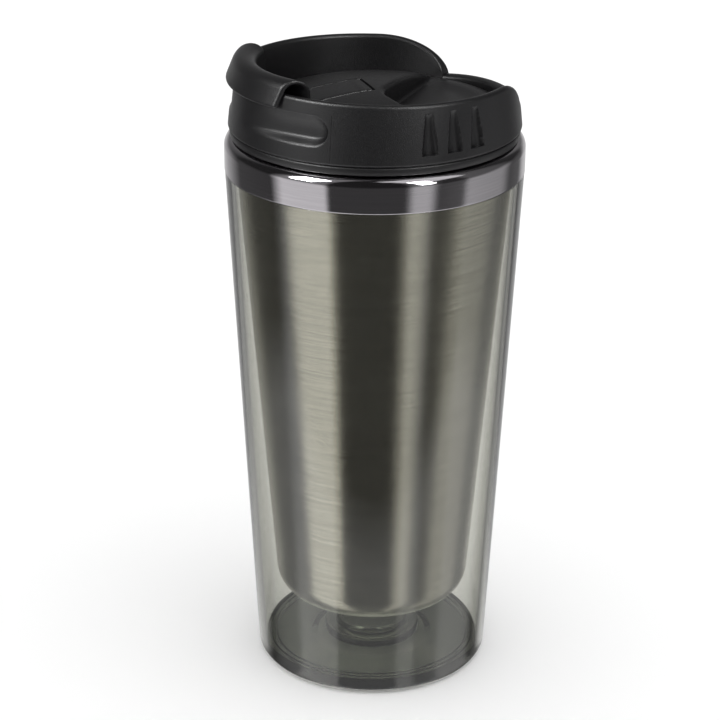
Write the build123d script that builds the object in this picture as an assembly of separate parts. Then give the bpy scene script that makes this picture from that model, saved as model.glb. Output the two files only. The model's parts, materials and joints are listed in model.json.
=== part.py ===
from build123d import *
import os
from math import acos, atan2, cos, hypot, pi, radians, sin, sqrt

# Insulated travel mug, in millimetres. The origin is the centre of the base, Z points up,
# the drinking side with the hook faces -X and the low notch of the lid faces +X.

# Driving dimensions of the vessel
collar_radius = 43.0
base_radius = 34.9
collar_low = 154.7
collar_top = 164.6
shell_wall = 2.0
shell_corner = 3.0
foot_bore = 30.2
foot_height = 1.2
neck_radius = 42.3
neck_top = 162.4
steel_sheet = 0.5
liner_floor = 20.4
liner_low_radius = 28.7
liner_high_radius = 40.1
liner_corner = 8.5
disc_low = 1.25
disc_top = 4.85
boss_radius = 14.6
boss_height = 4.0
fit = 0.05

# Driving dimensions of the screw closure
ring_radius = 37.9
ring_bore = 36.3
ring_low = 152.6
ring_top = 164.3
ring_flange = 40.8
skirt_radius = 34.9
skirt_bore = 33.0
skirt_low = 153.4
thread_starts = 3
thread_lead = 12.0
thread_sweep = 100.0
thread_depth = 1.0
thread_root = 1.5
thread_crest = 0.9
ring_thread_low = 157.0
thread_play = 0.3

# Driving dimensions of the lid
flange_low = 165.0
flange_radius = 41.35
bead_height = 167.3
wall_low_radius = 41.84
wall_bore = 37.4
rim_height = 183.9
rim_radius = 39.75
rim_round = 1.1
deck_ledge = 168.0
dome_top = 179.4
dome_edge = 171.8
deck_wall = 1.7
dish_floor = 171.9
notch_floor = 173.6
notch_reach = 34.0
dish_apex = (-1.3, -7.7)
dish_far_angle = 48.6
dish_near_angle = -71.8
# Heights of the rear notch's two ends, outwards from the middle: (distance aside, height)
notch_left_end = ((25.0, 173.6), (27.0, 178.6), (32.0, 181.6), (42.0, 184.3))
notch_right_end = ((18.3, 173.6), (20.2, 178.6), (23.5, 181.4), (30.0, 184.3))
scoop_height = 176.6
scoop_radius = 4.3
grip_angle = 67.9
grip_pitch = 10.5

# Driving dimensions of the flap
hook_centre = 37.0
hook_height = 184.6
hook_outer = 3.6
hook_wall = 1.1
hook_lip = (42.2, 181.2)
hook_foot = 174.4
hook_half_width = 21.0
arm_half_width = 5.8
arm_thickness = 3.2
slot_play = 0.35
pin_x = -4.5
pin_z = 178.0
pin_radius = 0.7
pin_length = 15.2
barrel_radius = 2.0
spout_x = -27.0
spout_radius = 4.0

dome_rise = dome_top - dome_edge
dome_radius = (wall_bore ** 2 + dome_rise ** 2) / (2 * dome_rise)
dome_centre = dome_top - dome_radius
shell_slope = (collar_radius - 0.1 - base_radius) / collar_low
liner_slope = (liner_high_radius - liner_low_radius) / (collar_low - liner_floor)


def spun(*points):
    """A solid of revolution about Z from the corners of its half section."""
    return revolve(make_face(Plane.XZ * Polyline(*points, close=True)), Axis.Z)


def block(x_low, x_high, y_low, y_high, z_low, z_high):
    """A box between six planes."""
    middle = ((x_low + x_high) / 2, (y_low + y_high) / 2, (z_low + z_high) / 2)
    return Pos(*middle) * Box(x_high - x_low, y_high - y_low, z_high - z_low)


def drum(radius, z_low, z_high, x=0.0, y=0.0):
    """An upright cylinder."""
    return Pos(x, y, (z_low + z_high) / 2) * Cylinder(radius, z_high - z_low)


def save(name, solid):
    export_step(solid, f"parts/{name}.step")


def shell_radius(height):
    return base_radius + shell_slope * height


def liner_radius(height):
    return liner_low_radius + liner_slope * (height - liner_floor)


def outer_shell():
    top_bore = shell_radius(neck_top) - shell_wall
    body = spun(
        (foot_bore, 0),
        (base_radius, 0),
        (shell_radius(collar_low), collar_low),
        (neck_radius, collar_low),
        (neck_radius, neck_top),
        (top_bore, neck_top),
        (shell_radius(foot_height) - shell_wall, foot_height),
        (foot_bore, foot_height),
    )
    rings = body.edges().filter_by(GeomType.CIRCLE)
    corner = rings.filter_by(lambda edge: edge.center().Z < 0.01 and edge.radius > base_radius - 0.1)
    return fillet(corner, shell_corner)


def base_disc():
    low_edge = shell_radius(disc_low) - shell_wall - fit
    top_edge = shell_radius(disc_top) - shell_wall - fit
    disc = spun(
        (0, disc_low + 0.8),
        (boss_radius + 2, disc_low + 0.8),
        (boss_radius + 4, disc_low),
        (low_edge, disc_low),
        (top_edge, disc_top),
        (0, disc_top),
    )
    for groove in (top_edge - 1.6, top_edge - 3.2):
        disc -= Pos(0, 0, disc_top) * Torus(groove, 0.3)
    return disc


def base_boss():
    low = disc_top + fit
    top = low + boss_height
    ring = spun(
        (0, low),
        (boss_radius, low),
        (boss_radius, low + 2.2),
        (boss_radius - 1.4, low + 2.2),
        (boss_radius - 3.7, low + 2.6),
        (boss_radius - 3.7, top),
        (boss_radius - 5.5, top),
        (boss_radius - 5.5, low + 1.8),
        (0, low + 1.8),
    )
    return ring


def steel_liner():
    lip_low = neck_top + 0.5
    throat = liner_radius(lip_low)
    inner_floor = liner_floor + steel_sheet
    outside = spun((0, liner_floor), (liner_low_radius, liner_floor), (throat, lip_low), (0, lip_low))
    inside = spun(
        (0, inner_floor),
        (liner_radius(inner_floor) - steel_sheet, inner_floor),
        (liner_radius(lip_low + 1) - steel_sheet, lip_low + 1),
        (0, lip_low + 1),
    )
    outside = fillet(outside.edges().filter_by(GeomType.CIRCLE).sort_by(Axis.Z)[0], liner_corner)
    inside = fillet(inside.edges().filter_by(GeomType.CIRCLE).sort_by(Axis.Z)[0], liner_corner - steel_sheet)
    lip = drum(neck_radius - 0.9, lip_low, lip_low + steel_sheet)
    return outside + lip - inside


def rim_seal():
    low = neck_top + fit
    high = neck_top + 0.5 - fit
    bore = shell_radius(neck_top) - shell_wall + 0.2
    return drum(neck_radius - 0.3, low, high) - drum(bore, low - 1, high + 1)


def rim_collar():
    sheet = 0.55
    shoulder = 2.9
    lip = 39.2
    outer = make_face(Plane.XZ * collar_line(0.0, lip, shoulder, collar_low))
    inner = make_face(Plane.XZ * collar_line(sheet, lip - 1, shoulder, collar_low - 1))
    return revolve(outer, Axis.Z) - revolve(inner, Axis.Z)


def collar_line(inset, lip, shoulder, low):
    """The closed half section of the collar's outside, moved in by a sheet thickness."""
    side = collar_radius - inset
    top = collar_top - inset
    bend = shoulder - inset
    curve = Line((lip, low), (side, low))
    curve += Line((side, low), (side, top - bend))
    curve += ThreePointArc(
        (side, top - bend),
        (side - bend * (1 - cos(pi / 4)), top - bend * (1 - sin(pi / 4))),
        (side - bend, top),
    )
    curve += Line((side - bend, top), (lip, top))
    curve += Line((lip, top), (lip, low))
    return curve


def thread_ridges(radius, outward, low):
    """Equal helical ridges on a cylinder, standing outward (1) or inward (-1)."""
    path = Helix(thread_lead, thread_lead * thread_sweep / 360, radius)
    root = 0.3
    half_root = thread_root / 2
    half_crest = thread_crest / 2
    section_plane = Plane(origin=path @ 0, x_dir=(outward, 0, 0), z_dir=path % 0)
    section = make_face(
        section_plane
        * Polyline(
            (-root, -half_root),
            (thread_depth, -half_crest),
            (thread_depth, half_crest),
            (-root, half_root),
            close=True,
        )
    )
    ridge = sweep(section, path=path, is_frenet=True)
    return [Pos(0, 0, low) * Rot(0, 0, 360 / thread_starts * start) * ridge for start in range(thread_starts)]


def mouth_ring():
    ring = drum(ring_radius, ring_low, ring_top) - drum(ring_bore, ring_low - 1, ring_top + 1)
    flange_base = neck_top + 2 * steel_sheet + fit
    ring += drum(ring_flange, flange_base, flange_base + steel_sheet + fit) - drum(ring_bore, ring_low, ring_top)
    for ridge in thread_ridges(ring_bore, -1, ring_thread_low):
        ring += ridge
    return ring


def sector(apex, start_angle, end_angle, z_low, z_high):
    """An upright wedge that opens from its apex between two directions."""
    reach = 90
    corners = [apex]
    for angle in (start_angle, (start_angle + end_angle) / 2, end_angle):
        corners.append((apex[0] + reach * cos(radians(angle)), apex[1] + reach * sin(radians(angle))))
    face = make_face(Polyline(*corners, close=True))
    return Pos(0, 0, z_low) * extrude(face, z_high - z_low)


def dome(offset, radius, low):
    """The part of the deck's dome inside a cylinder, moved in by an offset."""
    ball = Pos(0, 0, dome_centre) * Sphere(dome_radius - offset)
    return ball & drum(radius, low, dome_top + 5)


def grip_notch(angle):
    """A tapered groove in the wall, narrow at the top and flat at the bottom."""
    low = 170.1
    high = 181.2
    lean = 6.8
    cone = Cone(2.5, 0.8, high - low)
    return Rot(0, 0, angle) * Pos(41.7, 0, (low + high) / 2) * Rot(0, -lean, 0) * cone


def thumb_scoop(side):
    """A scallop below one end of the hook, deep at its near end and fading to the front."""
    stations = []
    for angle, radius in ((131, 43.0), (150, 43.6), (170, 45.2)):
        stations.append((radius * cos(radians(angle)), side * radius * sin(radians(angle)), scoop_height))
    path = ThreePointArc(*stations)
    tube = sweep(Plane(origin=path @ 0, z_dir=path % 0) * Circle(scoop_radius), path=path)
    return [tube, Pos(*stations[0]) * Sphere(scoop_radius)]


def wall_section():
    """The half section of the lid's wall, with its rounded top, ledge and skirt."""
    crest = rim_height - rim_round
    inner_top = rim_radius - 2 * rim_round
    curve = Polyline(
        (inner_top, crest),
        (wall_bore, crest - 2),
        (wall_bore, deck_ledge),
        (skirt_bore, deck_ledge),
        (skirt_bore, skirt_low),
        (skirt_radius, skirt_low),
        (skirt_radius, flange_low + 1.2),
        (37.6, flange_low + 1.2),
        (37.6, flange_low),
        (flange_radius, flange_low),
        (flange_radius + 0.1, bead_height),
        (wall_low_radius, bead_height + 0.4),
    )
    curve += Spline((wall_low_radius, bead_height + 0.4), (41.28, 172.8), (40.55, 177.6), (rim_radius, crest))
    curve += ThreePointArc((rim_radius, crest), (rim_radius - rim_round, rim_height), (inner_top, crest))
    return make_face(Plane.XZ * curve)


def notch_side(ends, side):
    """One half of the rear notch: its floor, and the rounded shoulder where the wall starts again."""
    top = rim_height + 6
    corners = [(side * aside, height) for aside, height in ends]
    last = corners[-1]
    outline = Polyline((0, top), (0, notch_floor), corners[0])
    outline += Spline(*corners)
    outline += Polyline(last, (last[0], top), (0, top))
    return extrude(Plane.YZ * make_face(outline), 60)


def rear_notch():
    """The low part of the rim at the rear, wider on its +Y side."""
    cut = notch_side(notch_left_end, 1) + notch_side(notch_right_end, -1)
    return cut - drum(notch_reach, notch_floor - 1, rim_height + 7)


def lid_shell():
    shell = revolve(wall_section(), Axis.Z) - rear_notch()
    for side in (-1, 1):
        for piece in thumb_scoop(side):
            shell -= piece
        for place in range(3):
            shell -= grip_notch(side * (grip_angle + grip_pitch * place))
    thread_low = ring_thread_low - (thread_root + thread_crest) / 2 - thread_play - 0.3
    for ridge in thread_ridges(skirt_radius, 1, thread_low):
        shell += ridge
    return shell


def slot_cut():
    """The room that the flap's arm and barrel turn in."""
    half = arm_half_width + slot_play
    channel = block(-wall_bore - 1, pin_x, -half, half, dish_floor - 8, dome_top + 5)
    channel -= Pos(0, 0, dome_centre) * Sphere(dome_radius - arm_thickness - 1.2)
    return channel + pin_bar(barrel_radius + slot_play, 2 * half)


def lid_deck():
    edge = wall_bore - fit
    deck = dome(0, edge, deck_ledge + fit)
    dish = sector(dish_apex, dish_near_angle, dish_far_angle, dish_floor, dome_top + 5)
    hollow = dome(deck_wall, edge - deck_wall, deck_ledge - 1)
    half = arm_half_width + slot_play + deck_wall
    hollow -= block(-wall_bore, 8, -half, half, deck_ledge - 2, dome_top + 5)
    wide_apex = (dish_apex[0] - 2.2, dish_apex[1] + 0.3)
    hollow -= sector(wide_apex, dish_near_angle, dish_far_angle, dish_floor - deck_wall, dome_top + 5)
    under = dome(arm_thickness + 1.2 + deck_wall, edge - deck_wall, deck_ledge - 1)
    under &= block(-wall_bore, 9, -half - 1, half + 1, deck_ledge - 2, dish_floor - deck_wall)
    deck = deck - dish - slot_cut() - hollow - under
    deck -= drum(spout_radius, deck_ledge - 2, dome_top, spout_x)
    return deck - pin_bar(pin_radius + 0.02, pin_length + 0.4)


def pin_bar(radius, length):
    """A cylinder along the flap's hinge axis."""
    return Pos(pin_x, 0, pin_z) * Rot(90, 0, 0) * Cylinder(radius, length)


def lid_floor():
    edge = skirt_bore - fit
    plate = drum(edge, skirt_low, skirt_low + 1.8)
    tube_top = dish_floor - 6
    plate += drum(spout_radius + 1.4, skirt_low, tube_top, spout_x)
    plate -= drum(spout_radius, skirt_low - 1, tube_top + 1, spout_x)
    return plate - drum(1.0, skirt_low - 1, skirt_low + 3, 20)


def lid_gasket():
    low = ring_top + 0.3
    high = flange_low + 1.2 - fit
    return drum(37.6 - fit, low, high) - drum(skirt_radius + fit, low - 1, high + 1)


def hook():
    """A half pipe that wraps over the lid's rim on the drinking side."""
    reach = hook_lip[0] - hook_centre
    drop = hook_lip[1] - hook_height
    lean = atan2(drop, reach) + acos(hook_outer / hypot(reach, drop))
    inner = hook_outer - hook_wall
    lip_inside = (hook_lip[0] - hook_wall * cos(lean), hook_lip[1] - hook_wall * sin(lean))

    def around(radius, angle):
        return (hook_centre + radius * cos(angle), hook_height + radius * sin(angle))

    curve = Polyline(lip_inside, hook_lip, around(hook_outer, lean))
    curve += ThreePointArc(around(hook_outer, lean), around(hook_outer, pi / 2), around(hook_outer, pi))
    curve += Polyline(
        around(hook_outer, pi),
        (hook_centre - hook_outer - 0.6, hook_foot),
        (hook_centre - inner - 0.6, hook_foot),
        around(inner, pi),
    )
    curve += ThreePointArc(around(inner, pi), around(inner, pi / 2), around(inner, lean))
    curve += Line(around(inner, lean), lip_inside)
    pipe = revolve(make_face(Plane.XZ * curve), Axis.Z)
    return pipe & block(-60, 0, -hook_half_width, hook_half_width, 160, 200)


def flap():
    arm = block(-33.5, pin_x, -arm_half_width, arm_half_width, 150, dome_top + 5)
    arm -= Pos(0, 0, dome_centre) * Sphere(dome_radius - arm_thickness)
    arm += pin_bar(barrel_radius, 2 * arm_half_width)
    arm &= Pos(0, 0, dome_centre) * Sphere(dome_radius)
    leg = drum(hook_centre - hook_outer + hook_wall - 0.6, 171.5, hook_foot + 0.2)
    leg -= drum(hook_centre - hook_outer - 0.6, 170, hook_foot + 1)
    leg &= block(-60, 0, -arm_half_width, arm_half_width, 160, 200)
    return hook() + arm + leg - pin_bar(pin_radius + 0.05, 3 * arm_half_width)


def spout_seal():
    face = dome_radius - arm_thickness - fit
    pad = drum(spout_radius + 0.7, 160, dome_top, spout_x)
    pad &= Pos(0, 0, dome_centre) * (Sphere(face) - Sphere(face - 0.7))
    plug_top = dome_centre + sqrt((face - 0.4) ** 2 - spout_x ** 2) - 1.0
    plug = Pos(spout_x, 0, plug_top - 0.6) * Cone(2.4, 3.0, 2.4)
    plug &= Pos(0, 0, dome_centre) * Sphere(face - 0.3)
    return pad + plug


def flap_pin():
    return pin_bar(pin_radius, pin_length)


os.makedirs("parts", exist_ok=True)
save("outer_shell", outer_shell())
save("base_disc", base_disc())
save("base_boss", base_boss())
save("steel_liner", steel_liner())
save("rim_seal", rim_seal())
save("rim_collar", rim_collar())
save("mouth_ring", mouth_ring())
save("lid_shell", lid_shell())
save("lid_deck", lid_deck())
save("lid_floor", lid_floor())
save("lid_gasket", lid_gasket())
save("flap", flap())
save("spout_seal", spout_seal())
save("flap_pin", flap_pin())
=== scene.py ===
import json
from math import cos, pi, radians, sin, tan

import bmesh
import bpy
import numpy as np
from mathutils import Matrix, Vector


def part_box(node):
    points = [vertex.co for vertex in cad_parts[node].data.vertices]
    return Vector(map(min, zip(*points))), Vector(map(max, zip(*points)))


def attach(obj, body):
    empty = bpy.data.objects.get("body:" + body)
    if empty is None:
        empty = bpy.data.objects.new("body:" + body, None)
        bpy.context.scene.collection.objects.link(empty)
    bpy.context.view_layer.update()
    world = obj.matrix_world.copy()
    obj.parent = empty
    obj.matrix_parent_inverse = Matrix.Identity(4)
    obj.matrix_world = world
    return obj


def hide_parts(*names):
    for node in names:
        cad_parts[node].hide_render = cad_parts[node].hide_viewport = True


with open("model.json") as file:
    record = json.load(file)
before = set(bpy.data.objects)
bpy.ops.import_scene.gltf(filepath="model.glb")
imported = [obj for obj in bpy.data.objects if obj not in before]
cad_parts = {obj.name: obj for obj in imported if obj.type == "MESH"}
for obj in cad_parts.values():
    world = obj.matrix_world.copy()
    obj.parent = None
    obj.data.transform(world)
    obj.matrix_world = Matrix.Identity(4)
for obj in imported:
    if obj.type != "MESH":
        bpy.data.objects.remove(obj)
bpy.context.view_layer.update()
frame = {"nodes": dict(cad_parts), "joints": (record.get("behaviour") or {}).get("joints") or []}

mm = 0.001
print("frame loaded:", len(frame["nodes"]), "nodes")


def hexColour(text):
    # sRGB hex to the linear values that Blender's shaders take
    linear = []
    for start in (1, 3, 5):
        value = int(text[start:start + 2], 16) / 255
        linear.append(value / 12.92 if value <= 0.04045 else ((value + 0.055) / 1.055) ** 2.4)
    return (*linear, 1.0)


def topOf(node):
    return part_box(node)[1].z / mm


def bottomOf(node):
    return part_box(node)[0].z / mm


def radiusOf(node):
    low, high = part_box(node)
    return (high.y - low.y) / 2 / mm


def makePiece(name, points, faces, body, material, sharp=38, stands=()):
    # points in millimetres; the faces are turned outwards by the sign of the volume
    corners = np.asarray(points, float) * mm
    fans = [(face[0], left, right) for face in faces for left, right in zip(face[1:], face[2:])]
    a, b, c = np.moveaxis(corners[np.array(fans)], 1, 0)
    if (a * np.cross(b, c)).sum() < 0:
        faces = [tuple(reversed(face)) for face in faces]
    mesh = bpy.data.meshes.new(name)
    mesh.from_pydata(corners.tolist(), [], faces)
    mesh.shade_smooth()
    mesh.set_sharp_from_angle(angle=radians(sharp))
    mesh.materials.append(material)
    piece = bpy.data.objects.new(name, mesh)
    bpy.context.collection.objects.link(piece)
    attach(piece, body)
    if stands:
        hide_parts(*stands)
    print("made", name, len(faces), "faces")
    return piece


def rounded(corners, steps):
    # a closed outline of (radius, height, fillet) corners, with each corner turned into an arc
    line = []
    count = len(corners)
    for index in range(count):
        r, z, fillet = corners[index]
        here = Vector((r, z))
        if fillet == 0:
            line.append((r, z))
            continue
        before = (Vector(corners[index - 1][:2]) - here).normalized()
        after = (Vector(corners[(index + 1) % count][:2]) - here).normalized()
        half = before.angle(after) / 2
        reach = fillet / tan(half)
        centre = here + (before + after).normalized() * (fillet / sin(half))
        start = here + before * reach - centre
        end = here + after * reach - centre
        turn = start.angle_signed(end)
        for step in range(steps + 1):
            spoke = start.copy()
            spoke.rotate(Matrix.Rotation(-turn * step / steps, 2))
            line.append((centre.x + spoke.x, centre.y + spoke.y))
    return line


def lathe(outline, columns):
    # a closed outline turned about the Z axis; points on the axis become poles
    points, rings = [], []
    for r, z in outline:
        if r < 1e-6:
            rings.append([len(points)] * columns)
            points.append((0, 0, z))
            continue
        rings.append(list(range(len(points), len(points) + columns)))
        for column in range(columns):
            angle = 2 * pi * column / columns
            points.append((r * cos(angle), r * sin(angle), z))
    faces = []
    for index in range(len(outline)):
        low, high = rings[index], rings[(index + 1) % len(outline)]
        if low[0] == low[1] and high[0] == high[1]:
            continue
        for column in range(columns):
            after = (column + 1) % columns
            face = []
            for corner in (low[column], low[after], high[after], high[column]):
                if corner not in face:
                    face.append(corner)
            faces.append(tuple(face))
    return points, faces


def skin(field, low, high, step):
    # the surface where the field is zero: one point for each cell that it crosses, moved onto it
    settle, nudge, leastSlope = 4, 0.01, 0.2
    axes = [np.arange(low[k], high[k] + step, step) for k in range(3)]
    grid = field(*np.meshgrid(*axes, indexing="ij"))
    inside = grid < 0
    size = [len(axis) - 1 for axis in axes]
    offsets = [(i, j, k) for i in (0, 1) for j in (0, 1) for k in (0, 1)]
    count = sum(inside[i:i + size[0], j:j + size[1], k:k + size[2]].astype(int) for i, j, k in offsets)
    cells = np.argwhere((count > 0) & (count < 8))
    values = [grid[cells[:, 0] + i, cells[:, 1] + j, cells[:, 2] + k] for i, j, k in offsets]
    total = np.zeros((len(cells), 3))
    hits = np.zeros(len(cells))
    for a in range(8):
        for b in range(a + 1, 8):
            way = np.subtract(offsets[b], offsets[a])
            if abs(way).sum() != 1:
                continue
            crossed = (values[a] < 0) != (values[b] < 0)
            part = values[a][crossed] / (values[a][crossed] - values[b][crossed])
            total[crossed] += np.array(offsets[a]) + part[:, None] * way
            hits[crossed] += 1
    points = np.array(low) + step * (cells + total / hits[:, None])
    for _ in range(settle):
        height = field(*points.T)
        slope = np.stack([
            (field(*(points + shift).T) - field(*(points - shift).T)) / (2 * nudge)
            for shift in np.eye(3) * nudge
        ], 1)
        move = height[:, None] * slope / np.maximum((slope ** 2).sum(1), leastSlope)[:, None]
        points -= np.clip(move, -step / 2, step / 2)
    number = -np.ones(size, int)
    number[tuple(cells.T)] = np.arange(len(cells))
    faces = []
    for axis in range(3):
        u, v = (axis + 1) % 3, (axis + 2) % 3
        near = np.moveaxis(inside, (axis, u, v), (0, 1, 2))
        table = np.moveaxis(number, (axis, u, v), (0, 1, 2))
        changed = np.argwhere(near[:-1, 1:-1, 1:-1] != near[1:, 1:-1, 1:-1])
        i, j, k = changed[:, 0], changed[:, 1] + 1, changed[:, 2] + 1
        quads = np.stack([
            table[i, j - 1, k - 1], table[i, j, k - 1], table[i, j, k], table[i, j - 1, k],
        ], 1)
        outward = near[i, j, k]
        quads[~outward] = quads[~outward][:, ::-1]
        faces += [tuple(face) for face in quads.tolist()]
    return points, faces


def softMax(a, b, blend):
    # the higher of two fields, with the crease between them rounded
    near = np.maximum(blend - abs(a - b), 0) / blend
    return np.maximum(a, b) + near * near * blend / 4


def softMin(a, b, blend):
    return -softMax(-a, -b, blend)


def smoothStep(value, start, end):
    part = np.clip((value - start) / (end - start), 0, 1)
    return part * part * (3 - 2 * part)


def addNode(tree, kind, inputs=None, links=None, **settings):
    thing = tree.nodes.new(kind)
    for name, value in settings.items():
        setattr(thing, name, value)
    for name, value in (inputs or {}).items():
        thing.inputs[name].default_value = value
    for name, source in (links or {}).items():
        tree.links.new(source, thing.inputs[name])
    return thing


def startMaterial(name):
    material = bpy.data.materials.new(name)
    material.use_nodes = True
    tree = material.node_tree
    tree.nodes.clear()
    output = addNode(tree, "ShaderNodeOutputMaterial")
    place = addNode(tree, "ShaderNodeTexCoord")
    return material, tree, output, place


noiseSpan = {"From Min": 0.3, "From Max": 0.7}  # the part of its range that noise mostly keeps to
glossSpread = (0.85, 1.2)  # least and most share of a finish's roughness, from place to place

# styrene acrylonitrile, injection moulded and tinted: clear with a grey-green smoke, deeper where it is thick
smokePlastic = {
    "name": "smokeStyreneAcrylonitrile",
    "colour": "#f4f4ef",
    "roughness": 0.02,
    "ior": 1.5,
    "smoke": "#868779",
    "smokeDensity": 62.0,
    "swirl": 22.0,  # mm between the slow waves that moulding leaves
}

# the same resin in the thick base pieces: more of its own green shows
basePlastic = {
    "name": "greenishStyreneAcrylonitrile",
    "colour": "#f1f4ec",
    "roughness": 0.03,
    "ior": 1.5,
    "smoke": "#7d8670",
    "smokeDensity": 200.0,
    "swirl": 15.0,
}


def makeClearPlastic(spec):
    material, tree, output, place = startMaterial(spec["name"])
    grain = addNode(tree, "ShaderNodeTexNoise", {"Scale": 1 / (spec["swirl"] * mm), "Detail": 1.0},
                    {"Vector": place.outputs["Object"]})
    rough = addNode(tree, "ShaderNodeMapRange", {
        **noiseSpan,
        "To Min": spec["roughness"] * 0.4, "To Max": spec["roughness"] * 1.6,
    }, {"Value": grain.outputs["Fac"]})
    shader = addNode(tree, "ShaderNodeBsdfPrincipled", {
        "Base Color": hexColour(spec["colour"]),
        "IOR": spec["ior"],
        "Transmission Weight": 1.0,
    }, {"Roughness": rough.outputs["Result"]})
    smoke = addNode(tree, "ShaderNodeVolumeAbsorption", {
        "Color": hexColour(spec["smoke"]), "Density": spec["smokeDensity"],
    })
    tree.links.new(shader.outputs["BSDF"], output.inputs["Surface"])
    tree.links.new(smoke.outputs["Volume"], output.inputs["Volume"])
    return material


# 18/8 stainless steel, spun and brushed round the cup:
# fine level lines draw each light out into an upright band
brushedSteel = {
    "name": "brushedStainlessLiner",
    "dark": "#aeaba1",
    "light": "#f3f0e7",
    "roughness": 0.15,
    "anisotropy": 0.9,
    "lineHeight": 0.45,  # mm; real lines are near 0.1 and would not show
    "lineLength": 30.0,
    "cloud": 16.67,  # mm between slow changes of gloss
    "relief": 0.00014,
}

# the same steel pressed and polished over a light brushing: it keeps the edges of the lights
polishedSteel = {
    "name": "polishedStainlessCollar",
    "dark": "#b2afb3",
    "light": "#c6c2c6",
    "roughness": 0.075,
    "anisotropy": 0.6,
    "lineHeight": 0.4,  # mm, drawn about three times too coarse so that it shows
    "lineLength": 24.0,
    "cloud": 16.67,
    "relief": 0.00005,
}


def makeSteel(spec):
    material, tree, output, place = startMaterial(spec["name"])
    across = 1 / spec["lineLength"] / mm
    upward = 1 / spec["lineHeight"] / mm
    stretch = addNode(tree, "ShaderNodeMapping", {"Scale": (across, across, upward)},
                      {"Vector": place.outputs["Object"]})
    lines = addNode(tree, "ShaderNodeTexNoise", {"Scale": 1.0, "Detail": 4.0, "Roughness": 0.65},
                    {"Vector": stretch.outputs["Vector"]})
    cloud = addNode(tree, "ShaderNodeTexNoise", {"Scale": 1 / (spec["cloud"] * mm), "Detail": 2.0},
                    {"Vector": place.outputs["Object"]})
    colour = addNode(tree, "ShaderNodeMix", {6: hexColour(spec["dark"]), 7: hexColour(spec["light"])},
                     {0: lines.outputs["Fac"]}, data_type="RGBA")
    rough = addNode(tree, "ShaderNodeMapRange", {
        **noiseSpan,
        "To Min": spec["roughness"] * glossSpread[0], "To Max": spec["roughness"] * glossSpread[1],
    }, {"Value": cloud.outputs["Fac"]})
    bump = addNode(tree, "ShaderNodeBump", {"Strength": 0.35, "Distance": spec["relief"]},
                   {"Height": lines.outputs["Fac"]})
    around = addNode(tree, "ShaderNodeTangent", direction_type="RADIAL", axis="Z")
    shader = addNode(tree, "ShaderNodeBsdfPrincipled", {
        "Metallic": 1.0,
        "Anisotropic": spec["anisotropy"],
        "Anisotropic Rotation": 0.25,
    }, {
        "Base Color": colour.outputs[2],
        "Roughness": rough.outputs["Result"],
        "Normal": bump.outputs["Normal"],
        "Tangent": around.outputs["Tangent"],
    })
    tree.links.new(shader.outputs["BSDF"], output.inputs["Surface"])
    return material


# black polypropylene, injection moulded in a spark-eroded tool: a fine even grain that spreads the lights
blackPolypropylene = {
    "name": "mouldedBlackPolypropylene",
    "dark": "#0a090b",
    "light": "#100f12",
    "roughness": 0.38,
    "ior": 1.49,
    "grain": 0.32,  # mm; the tool's grain is near 0.1 and would not show
    "cloud": 9.09,  # mm between slow changes of shade
    "relief": 0.00011,
}

# silicone rubber, pressed: soft, even, a little milky
siliconeRubber = {
    "name": "pressedSiliconeRubber",
    "dark": "#5d5f5c",
    "light": "#686a66",
    "roughness": 0.55,
    "ior": 1.41,
    "grain": 0.8,
    "cloud": 9.09,
    "relief": 0.0001,
}


def makeMoulded(spec):
    material, tree, output, place = startMaterial(spec["name"])
    grain = addNode(tree, "ShaderNodeTexNoise",
                    {"Scale": 1 / (spec["grain"] * mm), "Detail": 3.0, "Roughness": 0.6},
                    {"Vector": place.outputs["Object"]})
    cloud = addNode(tree, "ShaderNodeTexNoise", {"Scale": 1 / (spec["cloud"] * mm), "Detail": 3.0},
                    {"Vector": place.outputs["Object"]})
    colour = addNode(tree, "ShaderNodeMix", {6: hexColour(spec["dark"]), 7: hexColour(spec["light"])},
                     {0: cloud.outputs["Fac"]}, data_type="RGBA")
    rough = addNode(tree, "ShaderNodeMapRange", {
        **noiseSpan,
        "To Min": spec["roughness"] * glossSpread[0], "To Max": spec["roughness"] * glossSpread[1],
    }, {"Value": grain.outputs["Fac"]})
    bump = addNode(tree, "ShaderNodeBump", {"Strength": 0.5, "Distance": spec["relief"]},
                   {"Height": grain.outputs["Fac"]})
    shader = addNode(tree, "ShaderNodeBsdfPrincipled", {"IOR": spec["ior"]}, {
        "Base Color": colour.outputs[2],
        "Roughness": rough.outputs["Result"],
        "Normal": bump.outputs["Normal"],
    })
    tree.links.new(shader.outputs["BSDF"], output.inputs["Surface"])
    return material


shellMaterial = makeClearPlastic(smokePlastic)
baseMaterial = makeClearPlastic(basePlastic)
linerMaterial = makeSteel(brushedSteel)
collarMaterial = makeSteel(polishedSteel)
lidMaterial = makeMoulded(blackPolypropylene)
siliconeMaterial = makeMoulded(siliconeRubber)
print("materials made")

# sizes in millimetres from here on, unless a note says otherwise
shell = {
    "columns": 320,
    "cornerSteps": 10,
    "baseRadius": 34.9,
    "slope": 0.0517,  # growth in radius for each millimetre up
    "wall": 2.0,
    "corner": 3.0,
    "footBore": 30.2,
    "footHeight": 1.2,
    "neckRadius": 42.3,
}


def shellRadius(height):
    return shell["baseRadius"] + shell["slope"] * height


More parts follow.
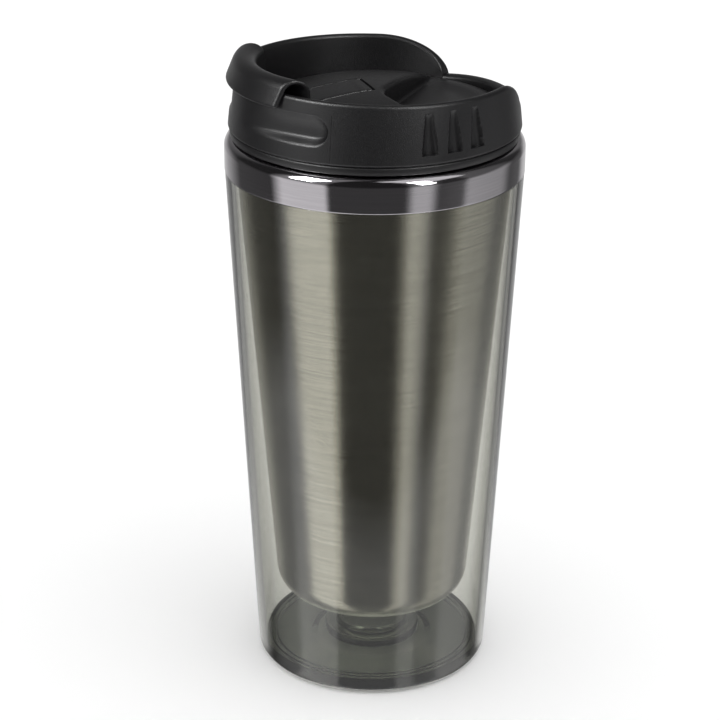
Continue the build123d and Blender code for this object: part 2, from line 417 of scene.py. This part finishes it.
def makeShell(spec):
    neckTop = topOf("outer_shell")
    step = bottomOf("rim_collar")
    outline = rounded([
        (spec["footBore"], 0, 0.3),
        (spec["baseRadius"], 0, spec["corner"]),
        (shellRadius(step), step, 0.05),
        (spec["neckRadius"], step, 0),
        (spec["neckRadius"], neckTop, 0),
        (shellRadius(neckTop) - spec["wall"], neckTop, 0),
        (shellRadius(spec["footHeight"]) - spec["wall"], spec["footHeight"], 0.4),
        (spec["footBore"], spec["footHeight"], 0.3),
    ], spec["cornerSteps"])
    points, faces = lathe(outline, spec["columns"])
    makePiece("shellBody", points, faces, "mug", shellMaterial, stands=["outer_shell"])


disc = {
    "columns": 256,
    "cornerSteps": 5,
    "fit": 0.05,  # gap to the shell
    "recess": 0.8,  # depth of the hollow underneath
    "recessRadii": (16.6, 18.6),
    "grooves": (1.6, 3.2),  # how far in from the edge
    "grooveHalf": 0.4,
    "grooveDepth": 0.35,
    "soft": 0.2,
}


def makeDisc(spec):
    low, high = bottomOf("base_disc"), topOf("base_disc")
    gap = shell["wall"] + spec["fit"]
    edge = shellRadius(high) - gap
    roof = low + spec["recess"]
    inner, outer = spec["recessRadii"]
    outline = [(0, roof, 0), (inner, roof, 0.6), (outer, low, 0.6), (shellRadius(low) - gap, low, 0.3)]
    outline.append((edge, high, 0.35))
    for groove in spec["grooves"]:
        middle = edge - groove
        outline += [
            (middle + spec["grooveHalf"], high, spec["soft"]),
            (middle, high - spec["grooveDepth"], spec["soft"]),
            (middle - spec["grooveHalf"], high, spec["soft"]),
        ]
    outline.append((0, high, 0))
    points, faces = lathe(rounded(outline, spec["cornerSteps"]), spec["columns"])
    makePiece("baseDisc", points, faces, "mug", baseMaterial, stands=["base_disc"])


boss = {
    "columns": 192,
    "cornerSteps": 5,
    "foot": (14.6, 2.2),  # radius and height of the outer ring
    "shoulder": (13.2, 10.9, 2.6),  # its flat's two radii, and the height where the inner ring starts
    "ring": (10.9, 9.1),
    "bowl": 1.8,  # height of the floor inside the inner ring
    "soft": 0.5,
}


def makeBoss(spec):
    low, high = bottomOf("base_boss"), topOf("base_boss")
    footRadius, footHeight = spec["foot"]
    flatOuter, flatInner, flatHeight = spec["shoulder"]
    ringOuter, ringInner = spec["ring"]
    soft = spec["soft"]
    outline = rounded([
        (0, low, 0),
        (footRadius, low, 0.3),
        (footRadius, low + footHeight, 0.6),
        (flatOuter, low + footHeight, 0.3),
        (flatInner, low + flatHeight, soft),
        (ringOuter, high, soft),
        (ringInner, high, soft),
        (ringInner, low + spec["bowl"], soft),
        (0, low + spec["bowl"], 0),
    ], spec["cornerSteps"])
    points, faces = lathe(outline, spec["columns"])
    makePiece("baseBoss", points, faces, "mug", baseMaterial, stands=["base_boss"])


liner = {
    "columns": 320,
    "cornerSteps": 16,
    "lowRadius": 28.7,
    "slope": 0.0849,
    "corner": 8.5,
    "sheet": 0.5,
}


def makeLiner(spec):
    low, high = bottomOf("steel_liner"), topOf("steel_liner")
    lip = radiusOf("steel_liner")
    radius, slope, sheet, corner = spec["lowRadius"], spec["slope"], spec["sheet"], spec["corner"]
    lipLow = high - sheet
    outline = rounded([
        (0, low, 0),
        (radius, low, corner),
        (radius + slope * (lipLow - low), lipLow, 0.3),
        (lip, lipLow, 0.1),
        (lip, high, 0.1),
        (radius + slope * (high - low) - sheet, high, 0.3),
        (radius + slope * sheet - sheet, low + sheet, corner - sheet),
        (0, low + sheet, 0),
    ], spec["cornerSteps"])
    points, faces = lathe(outline, spec["columns"])
    makePiece("steelLiner", points, faces, "mug", linerMaterial, stands=["steel_liner"])


collar = {
    "columns": 320,
    "cornerSteps": 12,
    "sheet": 0.55,
    "bend": 2.9,
    "lip": 39.2,
}


def makeCollar(spec):
    low, high = bottomOf("rim_collar"), topOf("rim_collar")
    outer = radiusOf("rim_collar")
    sheet, bend, lip = spec["sheet"], spec["bend"], spec["lip"]
    outline = rounded([
        (outer - sheet, low, 0.15),
        (outer, low, 0.3),
        (outer, high, bend),
        (lip, high, 0.2),
        (lip, high - sheet, 0.2),
        (outer - sheet, high - sheet, bend - sheet),
    ], spec["cornerSteps"])
    points, faces = lathe(outline, spec["columns"])
    makePiece("collarRing", points, faces, "mug", collarMaterial, stands=["rim_collar"])


makeShell(shell)
makeDisc(disc)
makeBoss(boss)
makeLiner(liner)
makeCollar(collar)

lidWall = {
    # columns crowd together where the wall has detail: (from this angle, degrees between columns)
    "spacing": (
        (0, 1.0), (26, 0.25), (30, 0.6), (37.5, 0.25), (42, 0.6), (65, 0.25), (92, 1.0),
        (125.9, 0.09), (129.5, 0.4), (150, 1.0),
    ),
    "arcRadius": 41.0,  # where lengths round the wall are measured
    "wallLow": 167.7,
    "lowRadius": 41.84,
    "lean": 0.0952,
    "curve": 0.00286,
    "bore": 37.4,
    "boreDraft": 0.1,
    "rimMiddle": 183.73,  # height of the rim at the lid's centre line
    "rimTilt": 0.023,  # the rim rises towards the hook
    "rimRound": 1.1,
    "notchLow": 172.6,
    "notchMiddle": 174.5,
    "notchHalf": 40.0,  # degrees
    "leftShoulder": (38.0, 30.0),  # where the wall starts to rise, and over how many degrees
    "rightShoulder": (26.5, 20.0),
    "ledge": 168.0,
    "plainTop": 170.3,  # level rows up to here, then rows that follow the rim
    "riseRows": 46,
    "rimRows": 12,
    "boreRows": 6,
}
grip = {
    "angles": (67.9, 78.4, 88.9),
    "low": 170.1,
    "height": 11.1,
    "depth": 1.6,
    "halfLow": 2.35,
    "taper": 1.35,  # how much narrower each side is at the top
}
scoop = {
    "start": 127.9,  # degrees
    "middle": 176.2,
    "half": 4.4,
    "depth": 2.1,
    "end": 5.0,  # length of the rounded near end
    "fade": (9.0, 34.0),
}
partingLine = {
    "angle": 126.6,  # degrees
    "low": 168.5,
    "high": 180.8,
    "half": 0.16,
    "depth": 0.12,
}


def wallRadius(height):
    up = height - lidWall["wallLow"]
    return lidWall["lowRadius"] - lidWall["lean"] * up - lidWall["curve"] * up * up


def notchHeight(angle):
    # the low rear rim, highest at the middle
    aside = np.clip(abs(angle) / lidWall["notchHalf"], 0, 1)
    return lidWall["notchMiddle"] - (lidWall["notchMiddle"] - lidWall["notchLow"]) * aside ** 2


def rimHeight(angle):
    # the rim's height by direction in degrees: high, with rounded shoulders down to the rear notch
    tilt = lidWall["rimTilt"] * lidWall["arcRadius"]
    high = lidWall["rimMiddle"] - tilt * np.cos(np.radians(angle))
    start = np.where(angle > 0, lidWall["leftShoulder"][0], lidWall["rightShoulder"][0])
    width = np.where(angle > 0, lidWall["leftShoulder"][1], lidWall["rightShoulder"][1])
    part = np.clip((abs(angle) - start) / width, 0, 1)
    rise = np.sqrt(np.maximum(1 - (1 - part) ** 2, 0))
    low = notchHeight(angle)
    return low + (high - low) * rise


def gripDent(turn, height):
    # three tapered grooves, flat at the foot and narrow at the top
    dent = np.zeros_like(height)
    up = (height - grip["low"]) / grip["height"]
    inRange = np.clip(up, 0, 1)
    half = grip["halfLow"] - grip["taper"] * inRange ** 1.3
    deep = grip["depth"] * np.sqrt(np.clip(1 - inRange ** 2.2, 0, 1))
    for middle in grip["angles"]:
        across = np.radians(turn - middle) * lidWall["arcRadius"]
        groove = deep * np.sqrt(np.clip(1 - (across / half) ** 2, 0, 1))
        dent = np.maximum(dent, np.where((up >= 0) & (up <= 1), groove, 0))
    return dent


def scoopDent(turn, height):
    # a thumb scoop: round at its near end, fading to the front, with a crisp lower ledge
    along = np.radians(turn - scoop["start"]) * lidWall["arcRadius"]
    end = np.sqrt(np.clip(1 - (1 - np.clip(along / scoop["end"], 0, 1)) ** 2, 0, 1))
    fade = 1 - smoothStep(along, *scoop["fade"])
    level = (height - scoop["middle"]) / np.maximum(scoop["half"] * end, 0.05)
    lower = smoothStep(level, -1.0, -0.45)
    upper = np.clip(1 - (np.clip(level + 0.35, 0, 2) / 1.35) ** 2, 0, 1)
    return np.where(along > 0, scoop["depth"] * end * fade * lower * upper, 0)


def wallDent(angle, height):
    # how far the outside of the wall is pressed in
    turn = abs(angle)
    away = abs(np.radians(turn - partingLine["angle"]) * lidWall["arcRadius"])
    line = np.clip(1 - away / partingLine["half"], 0, 1)
    line = np.where((height > partingLine["low"]) & (height < partingLine["high"]), line, 0)
    dent = np.maximum(gripDent(turn, height), scoopDent(turn, height))
    return np.maximum(dent, partingLine["depth"] * line)


skirt = {
    "radius": 34.9,
    "bore": 33.0,
    "chamfer": 0.4,
    "rowStep": 0.3,
    "top": 166.0,
    "threadLow": 155.2,
    "threadStarts": 3,
    "threadLead": 12.0,
    "threadSweep": 100.0,  # degrees
    "threadRunOut": 3.0,  # degrees
    "threadDepth": 1.0,
    "threadHalf": 0.75,
    "threadFlank": 0.3,
    "neckRadius": 37.6,
    "flangeLow": 165.0,
    # the flange's edge and the groove above it, as (radius past the flange, height)
    "flange": (
        (-0.55, 165.0), (-0.3, 165.08), (-0.18, 165.35), (-0.08, 166.9), (-0.18, 167.1), (-0.42, 167.22),
        (-0.5, 167.35), (-0.34, 167.5), (-0.04, 167.62), (0.2, 167.8),
    ),
    "seam": (168.1, 170.0, 0.3),  # level rows above the groove
    "gripFoot": (170.0, 170.09, 170.12, 170.3),  # and close rows at the foot of the grips
}


def threadRadius(angle, height):
    # equal ridges that climb one lead a turn
    ridge = np.zeros_like(angle)
    for start in range(skirt["threadStarts"]):
        turned = (angle - 360.0 / skirt["threadStarts"] * start) % 360.0
        up = abs(height - skirt["threadLow"] - skirt["threadLead"] * turned / 360.0)
        ends = np.clip(np.minimum(turned, skirt["threadSweep"] - turned) / skirt["threadRunOut"], 0, 1)
        flank = np.clip((skirt["threadHalf"] - up) / skirt["threadFlank"], 0, 1)
        ridge = np.maximum(ridge, skirt["threadDepth"] * ends * flank)
    return skirt["radius"] + ridge


def wallAngles():
    angles = []
    angle = 0.0
    while angle < 180:
        angles.append(angle)
        angle += [gap for start, gap in lidWall["spacing"] if start <= angle][-1]
    return np.array([-a for a in reversed(angles[1:])] + angles + [180.0])


def skirtRows(angles):
    # radius and height of each row, from the skirt's bottom up to the foot of the wall
    bottom = bottomOf("lid_shell")
    flange = radiusOf("lid_shell") - 0.3
    radius, chamfer = skirt["radius"], skirt["chamfer"]
    rows = [(skirt["bore"], bottom), (radius - chamfer, bottom), (radius, bottom + chamfer)]
    for height in np.arange(bottom + 2 * chamfer, skirt["top"], skirt["rowStep"]):
        rows.append((threadRadius(angles, height), height))
    roof = skirt["top"] + 0.2
    rows += [(radius, roof), (skirt["neckRadius"], roof), (skirt["neckRadius"], skirt["flangeLow"])]
    return rows + [(flange + past, height) for past, height in skirt["flange"]]


def makeWall(spec):
    angles = wallAngles()
    crest = rimHeight(angles) - spec["rimRound"]
    rows = skirtRows(angles)
    levels = [np.full_like(angles, height) for height in np.arange(*skirt["seam"])]
    levels += [np.full_like(angles, height) for height in skirt["gripFoot"]]
    for part in np.linspace(0.02, 1, spec["riseRows"]):
        levels.append(spec["plainTop"] + (crest - spec["plainTop"]) * part)
    rows += [(wallRadius(level) - wallDent(angles, level), level) for level in levels]
    outer = rows[-1][0]
    inner = spec["bore"] + spec["boreDraft"]
    middle, half = (outer + inner) / 2, (outer - inner) / 2
    for step in range(1, spec["rimRows"]):
        turn = pi * step / spec["rimRows"]
        rows.append((middle + half * cos(turn), crest + spec["rimRound"] * sin(turn)))
    for part in np.linspace(0, 1, spec["boreRows"]):
        radius = spec["bore"] + spec["boreDraft"] * (1 - part)
        rows.append((radius, crest + (spec["ledge"] - crest) * part))
    rows.append((skirt["bore"], spec["ledge"]))
    count = len(angles) - 1  # the last column is the first again
    turns = np.radians(angles[:-1])
    points, faces = [], []
    for radius, height in rows:
        radius = np.broadcast_to(radius, angles.shape)[:-1]
        height = np.broadcast_to(height, angles.shape)[:-1]
        points.append(np.stack([radius * np.cos(turns), radius * np.sin(turns), height], 1))
    for row in range(len(rows)):
        here, above = row * count, (row + 1) % len(rows) * count
        for column in range(count):
            after = (column + 1) % count
            faces.append((here + column, here + after, above + after, above + column))
    makePiece("lidWall", np.concatenate(points), faces, "lid", lidMaterial, 50, ["lid_shell"])


makeWall(lidWall)

hinge = [joint for joint in frame["joints"] if joint["name"] == "flap_hinge"][0]
deck = {
    "domeTop": 179.4,
    "domeEdge": 171.8,
    "gap": 0.04,  # to the wall
    "skinWall": 1.7,
    "dishFloor": 171.9,
    "dishApex": (-1.3, -7.7),
    "dishAngles": (48.6, -71.8),
    "dishCorner": 4.0,
    "dishFoot": 1.0,
    "brimDrop": 0.25,  # how far the floor's edge stays below the rear rim
    "brimReach": (27.0, 37.2),  # the radii between which the floor climbs to it
    "softEdge": 1.6,
    "spoutX": -27.0,
    "spoutRadius": 4.0,
    "cell": 0.4,
    "room": ((-38, -38, 167.5), (38, 38, 180.2)),
}
flap = {
    "hookCentre": 37.0,
    "hookHeight": 184.6,
    "hookRadius": 3.0,
    "hookWall": 1.2,
    "hookLean": 21.4,  # degrees
    "hookLip": (41.52, 181.5),
    "hookFoot": (33.35, 175.0),
    "hookHalf": 21.0,
    "legHalf": 0.62,
    "legLow": 171.4,
    "legTop": 175.4,
    "armHalf": 5.8,
    "armThickness": 3.2,
    "armEnd": -33.5,
    "pinX": hinge["pos_m"][0] / mm,
    "pinZ": hinge["pos_m"][2] / mm,
    "pinBore": 0.75,
    "barrel": 2.0,
    "play": 0.35,
    "clearance": 1.2,  # below the arm
    "soft": 0.5,
    "cell": 0.27,
    "room": ((-43, -22, 170.8), (-2, 22, 189)),
}
domeRise = deck["domeTop"] - deck["domeEdge"]
domeRadius = (lidWall["bore"] ** 2 + domeRise ** 2) / (2 * domeRise)
domeCentre = deck["domeTop"] - domeRadius


def domeField(x, y, z):
    return np.sqrt(x * x + y * y + (z - domeCentre) ** 2) - domeRadius


def dishField(x, y, z):
    # negative inside the dish: between two upright walls that meet in a rounded corner, above its floor
    sides = []
    for angle, way in zip(deck["dishAngles"], (1, -1)):
        turn = radians(angle)
        across = -(x - deck["dishApex"][0]) * sin(turn) + (y - deck["dishApex"][1]) * cos(turn)
        sides.append(way * across)
    brim = notchHeight(np.degrees(np.arctan2(y, x))) - deck["brimDrop"] - deck["dishFloor"]
    lift = brim * smoothStep(np.sqrt(x * x + y * y), *deck["brimReach"])
    floor = deck["dishFloor"] + lift - z
    return softMax(softMax(sides[0], sides[1], deck["dishCorner"]), floor, deck["dishFoot"])


def slotField(x, y, z):
    # negative inside the room that the arm and its barrel turn in
    half = flap["armHalf"] + flap["play"]
    depth = -flap["armThickness"] - flap["clearance"]
    channel = np.maximum(np.maximum(abs(y) - half, x - flap["pinX"]), depth - domeField(x, y, z))
    barrel = np.sqrt((x - flap["pinX"]) ** 2 + (z - flap["pinZ"]) ** 2) - flap["barrel"] - flap["play"]
    return np.minimum(channel, np.maximum(barrel, abs(y) - half))


def deckField(x, y, z):
    top = softMax(domeField(x, y, z), -dishField(x, y, z), deck["softEdge"])
    top = softMax(top, -slotField(x, y, z), flap["soft"])
    body = np.maximum(top, -(top + deck["skinWall"]))
    edge = np.sqrt(x * x + y * y) - lidWall["bore"] + deck["gap"]
    spout = np.sqrt((x - deck["spoutX"]) ** 2 + y * y) - deck["spoutRadius"]
    return np.maximum(np.maximum(np.maximum(body, edge), bottomOf("lid_deck") - z), -spout)


def hookField(x, y, z):
    # a bent strip in section: up from the foot, over the rim and down to the lip
    r = np.sqrt(x * x + y * y)
    cx, cz, radius = flap["hookCentre"], flap["hookHeight"], flap["hookRadius"]
    lean = radians(flap["hookLean"])
    start = (cx + radius * cos(lean), cz + radius * sin(lean))
    angle = np.arctan2(z - cz, r - cx)
    far = np.full_like(r, 99.0)
    away = np.where(angle >= lean, abs(np.hypot(r - cx, z - cz) - radius), far)
    for (ax, az), (bx, bz) in (((cx - radius, cz), flap["hookFoot"]), (start, flap["hookLip"])):
        dx, dz = bx - ax, bz - az
        part = np.clip(((r - ax) * dx + (z - az) * dz) / (dx * dx + dz * dz), 0, 1)
        away = np.minimum(away, np.hypot(r - ax - part * dx, z - az - part * dz))
    strip = away - flap["hookWall"] / 2
    return np.maximum(softMax(strip, abs(y) - flap["hookHalf"], 0.6), x)


def flapField(x, y, z):
    # the arm and its barrel, the leg under the hook, and the hook, less the pin's hole
    soft = flap["soft"]
    dome = domeField(x, y, z)
    side = abs(y) - flap["armHalf"]
    arm = softMax(softMax(dome, side, 0.6), -dome - flap["armThickness"], 0.6)
    arm = softMax(arm, softMax(flap["armEnd"] - x, x - flap["pinX"], soft), soft)
    fromPin = np.hypot(x - flap["pinX"], z - flap["pinZ"])
    barrel = softMax(softMax(fromPin - flap["barrel"], side, 0.4), dome, 0.4)
    leg = softMax(abs(np.sqrt(x * x + y * y) - flap["hookFoot"][0]) - flap["legHalf"], side, soft)
    leg = np.maximum(np.maximum(leg, z - flap["legTop"]), np.maximum(flap["legLow"] - z, x))
    body = softMin(softMin(arm, barrel, 0.4), softMin(leg, hookField(x, y, z), 0.8), 1.2)
    return np.maximum(body, flap["pinBore"] - fromPin)


def makeDeck(spec):
    points, faces = skin(deckField, *spec["room"], spec["cell"])
    makePiece("lidDeck", points, faces, "lid", lidMaterial, 50, ["lid_deck"])


def makeFlap(spec):
    points, faces = skin(flapField, *spec["room"], spec["cell"])
    makePiece("flapHook", points, faces, "flap", lidMaterial, 60, ["flap"])


makeDeck(deck)
makeFlap(flap)

# finishes of the parts that keep their own shape
finishes = {
    "rim_seal": siliconeMaterial,
    "lid_gasket": siliconeMaterial,
    "spout_seal": siliconeMaterial,
    "mouth_ring": lidMaterial,
    "lid_floor": lidMaterial,
    "flap_pin": linerMaterial,
}
for nodeName, finish in finishes.items():
    mesh = frame["nodes"][nodeName].data
    mesh.materials.clear()
    mesh.materials.append(finish)

# metres and degrees
camera = {
    "lens": 109.71,
    "distance": 0.6008,
    "height": 0.3493,
    "standAzimuth": -20.0,
    "aimAzimuth": -19.623,
    "pitch": 23.007,
    "roll": 0.267,
}


def addCamera(spec):
    # a long lens, a little above the lid
    data = bpy.data.cameras.new("camera")
    data.lens = spec["lens"]
    data.sensor_width = 36.0
    data.clip_start = 0.01
    thing = bpy.data.objects.new("camera", data)
    bpy.context.collection.objects.link(thing)
    turn = radians(spec["standAzimuth"])
    place = Vector((spec["distance"] * sin(turn), -spec["distance"] * cos(turn), spec["height"]))
    thing.matrix_world = (
        Matrix.Translation(place)
        @ Matrix.Rotation(radians(spec["aimAzimuth"]), 4, "Z")
        @ Matrix.Rotation(radians(90 - spec["pitch"]), 4, "X")
        @ Matrix.Rotation(radians(spec["roll"]), 4, "Z")
    )
    bpy.context.scene.camera = thing


addCamera(camera)

studio = {
    "front": -110.0,  # the direction the lights are laid out from, degrees about Z
    "surround": 1.08,
    # direction in degrees from the front, and brightness, of the lights that gloss picks up
    "bands": (
        (-180, 0.7), (-160, 0.6), (-140, 0.35), (-124, 0.08), (-84, 0.06), (-74, 0.9), (-38, 0.86),
        (-34, 0.06), (24, 0.06), (30, 0.62), (42, 0.62), (49, 0.08), (70, 0.12), (75, 0.5), (112, 0.4),
        (124, 0.1), (142, 0.14), (152, 0.6), (180, 0.7),
    ),
    "ceiling": 0.3,  # share of that brightness left above the lid, so that the deck stays black
    "sheen": 1.0,  # brightness of the table's reflection low on the clear shell
    "sheenHalf": 68.0,  # degrees to each side of the front over which its line climbs
    "sheenLine": (-0.545, -0.41),  # its height at the front and at the sides, as the sine of the slope
    "sheenEdge": 0.05,
    "table": "#fbfbfb",
}
# degrees from the front, degrees up, metres away, size in metres, watts, and whether it lights the table
lamps = {
    "overhead": (60, 62, 1.4, (0.9, 0.9), 2, True),
    # the two softboxes only add gloss: the surround already lights the table evenly
    "softboxLeft": (-58, 42, 1.1, (0.34, 0.6), 14, False),
    "softboxRight": (40, 38, 1.1, (0.18, 0.7), 7, False),
}


def seenInGloss(tree):
    path = addNode(tree, "ShaderNodeLightPath")
    glossy = addNode(tree, "ShaderNodeMath", {1: 0.5}, {0: path.outputs["Glossy Depth"]},
                     operation="GREATER_THAN")
    return path, glossy.outputs[0]


def makeWorld(spec):
    world = bpy.data.worlds.new("studio")
    bpy.context.scene.world = world
    world.use_nodes = True
    tree = world.node_tree
    tree.nodes.clear()
    output = addNode(tree, "ShaderNodeOutputWorld")
    place = addNode(tree, "ShaderNodeTexCoord")
    split = addNode(tree, "ShaderNodeSeparateXYZ", links={0: place.outputs["Generated"]})
    angle = addNode(tree, "ShaderNodeMath", operation="ARCTAN2",
                    links={0: split.outputs["Y"], 1: split.outputs["X"]})
    # a whole turn from 0 to 1, with the front at 0.5
    turned = addNode(tree, "ShaderNodeMath", {1: 1 / (2 * pi), 2: 0.5 - spec["front"] / 360},
                     {0: angle.outputs[0]}, operation="MULTIPLY_ADD")
    share = addNode(tree, "ShaderNodeMath", links={0: turned.outputs[0]}, operation="FRACT")
    ramp = addNode(tree, "ShaderNodeValToRGB", links={0: share.outputs[0]})
    stops = ramp.color_ramp.elements
    while len(stops) > 1:
        stops.remove(stops[-1])
    for index, (where, bright) in enumerate(spec["bands"]):
        stop = stops[0] if index == 0 else stops.new(0.5 + where / 360)
        stop.position = 0.5 + where / 360
        stop.color = (bright, bright, bright, 1)
    upper = addNode(tree, "ShaderNodeMapRange",
                    {"From Min": -0.05, "From Max": 0.2, "To Min": 1.0, "To Max": spec["ceiling"]},
                    {"Value": split.outputs["Z"]})
    dimmed = addNode(tree, "ShaderNodeMath", operation="MULTIPLY",
                     links={0: ramp.outputs["Color"], 1: upper.outputs["Result"]})
    # the table shows in the shell's own gloss, below a line that dips towards the front
    path, glossy = seenInGloss(tree)
    half = spec["sheenHalf"]
    aside = addNode(tree, "ShaderNodeMath", {1: 360 / half, 2: -180 / half}, {0: share.outputs[0]},
                    operation="MULTIPLY_ADD")
    square = addNode(tree, "ShaderNodeMath", operation="MULTIPLY",
                     links={0: aside.outputs[0], 1: aside.outputs[0]})
    dip = addNode(tree, "ShaderNodeMapRange",
                  {"From Max": 1.2, "To Min": spec["sheenLine"][0], "To Max": spec["sheenLine"][1]},
                  {"Value": square.outputs[0]})
    fade = addNode(tree, "ShaderNodeMapRange",
                   {"From Min": 1.5, "From Max": 3.2, "To Min": 1.0, "To Max": 0.0},
                   {"Value": square.outputs[0]})
    below = addNode(tree, "ShaderNodeMath", operation="SUBTRACT",
                    links={0: dip.outputs[0], 1: split.outputs["Z"]})
    table = addNode(tree, "ShaderNodeMapRange", {"From Max": spec["sheenEdge"], "To Max": spec["sheen"]},
                    {"Value": below.outputs[0]})
    outer = addNode(tree, "ShaderNodeMath", {1: 0.5}, {0: path.outputs["Transmission Depth"]},
                    operation="LESS_THAN")
    shown = addNode(tree, "ShaderNodeMath", links={0: fade.outputs[0], 1: outer.outputs[0]},
                    operation="MULTIPLY")
    veil = addNode(tree, "ShaderNodeMath", links={0: table.outputs["Result"], 1: shown.outputs[0]},
                   operation="MULTIPLY")
    both = addNode(tree, "ShaderNodeMath", links={0: dimmed.outputs[0], 1: veil.outputs[0]},
                   operation="ADD")
    lights = addNode(tree, "ShaderNodeBackground", links={"Color": both.outputs[0]})
    plain = addNode(tree, "ShaderNodeBackground", {"Color": (1, 1, 1, 1), "Strength": spec["surround"]})
    mix = addNode(tree, "ShaderNodeMixShader", links={0: glossy, 1: plain.outputs[0], 2: lights.outputs[0]})
    tree.links.new(mix.outputs[0], output.inputs["Surface"])


def makeFloor(spec):
    # a white table top that only the gloss of the mug doesn't see
    material, tree, output, place = startMaterial("whiteTable")
    path, glossy = seenInGloss(tree)
    paint = addNode(tree, "ShaderNodeBsdfDiffuse", {"Color": hexColour(spec["table"])})
    clear = addNode(tree, "ShaderNodeBsdfTransparent")
    mix = addNode(tree, "ShaderNodeMixShader", links={0: glossy, 1: paint.outputs[0], 2: clear.outputs[0]})
    tree.links.new(mix.outputs[0], output.inputs["Surface"])
    mesh = bpy.data.meshes.new("floor")
    shape = bmesh.new()
    bmesh.ops.create_grid(shape, x_segments=8, y_segments=8, size=6.0)
    shape.to_mesh(mesh)
    shape.free()
    mesh.materials.append(material)
    floor = bpy.data.objects.new("floor", mesh)
    floor.visible_shadow = False
    bpy.context.collection.objects.link(floor)


def addLight(name, azimuth, elevation, distance, size, power, lightsTable):
    data = bpy.data.lights.new(name, "AREA")
    data.shape = "RECTANGLE"
    data.size, data.size_y = size
    data.energy = power
    thing = bpy.data.objects.new(name, data)
    bpy.context.collection.objects.link(thing)
    turn, lift = radians(studio["front"] + azimuth), radians(elevation)
    way = Vector((cos(turn) * cos(lift), sin(turn) * cos(lift), sin(lift)))
    thing.location = way * distance + Vector((0, 0, 0.09))  # aimed at the middle of the mug
    thing.rotation_euler = way.to_track_quat("Z", "Y").to_euler()
    thing.visible_camera = False
    thing.visible_transmission = False
    thing.visible_diffuse = lightsTable


makeWorld(studio)
makeFloor(studio)
for lampName, lamp in lamps.items():
    addLight(lampName, *lamp)
bpy.context.scene.view_settings.view_transform = "Standard"
print("studio set")
